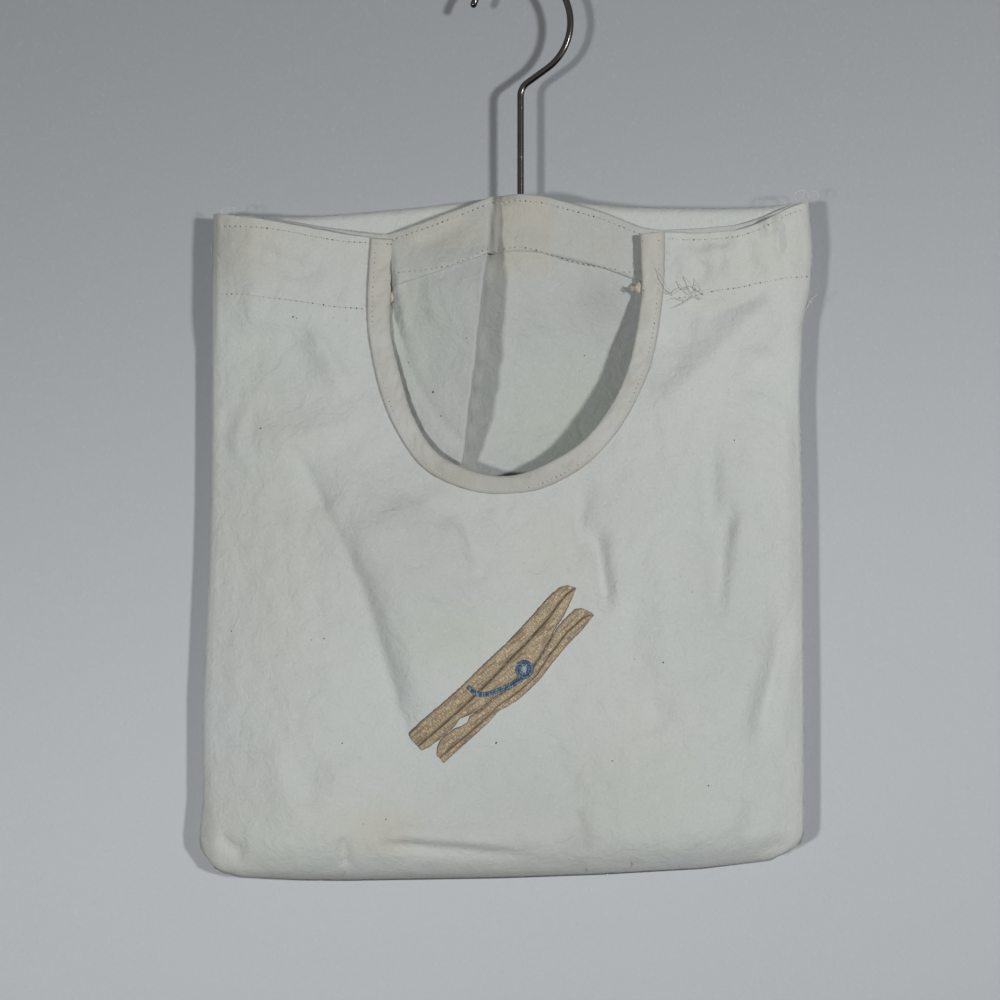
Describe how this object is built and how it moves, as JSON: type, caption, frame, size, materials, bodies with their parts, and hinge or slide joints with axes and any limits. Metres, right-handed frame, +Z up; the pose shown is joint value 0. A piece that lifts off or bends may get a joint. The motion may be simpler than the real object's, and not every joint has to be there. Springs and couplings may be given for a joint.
{
  "type": "hanging peg bag",
  "caption": "White cotton peg bag with a U-shaped bound mouth and an embroidered spring peg, hung from a swivelling wire hanger hook over a clothes rail or line.",
  "frame": {"origin": "throat of the hook: the inside top of its crown, where the rail or line bears", "axes": "+Z up along the hook's neck, the mouth faces -Y, +X to the right seen from the front"},
  "size_m": [0.336, 0.0382, 0.5113],
  "materials": {
    "chrome": "polished",
    "bright_steel": "satin",
    "beech": "satin",
    "white_cotton": "matte",
    "bias_tape": "matte",
    "cotton_thread": "matte",
    "tan_thread": "satin",
    "blue_thread": "satin"
  },
  "bodies": {
    "hook": {"hook": "chrome"},
    "bag": {"hook_ferrule": "bright_steel", "hook_washer": "bright_steel", "hanger_bar": "beech", "back_panel": "white_cotton", "inner_panel": "white_cotton", "front_panel": "white_cotton", "mouth_binding": "bias_tape", "front_left_top_stitching": "cotton_thread", "front_left_hem_stitching": "cotton_thread", "left_seam_thread": "cotton_thread", "front_right_top_stitching": "cotton_thread", "front_right_hem_stitching": "cotton_thread", "right_seam_thread": "cotton_thread", "inner_top_stitching": "cotton_thread", "inner_hem_stitching": "cotton_thread", "binding_stitching": "cotton_thread", "bottom_seam_thread": "cotton_thread", "casing_stitching": "cotton_thread", "peg_motif_upper_leg": "tan_thread", "peg_motif_lower_leg": "tan_thread", "peg_motif_spring": "blue_thread"}
  },
  "joints": [
    {"name": "hook_swivel", "type": "hinge", "parent": "hook", "child": "bag", "pos_m": [0, 0, -0.128], "axis": [0, 0, 1], "continuous": true}
  ]
}
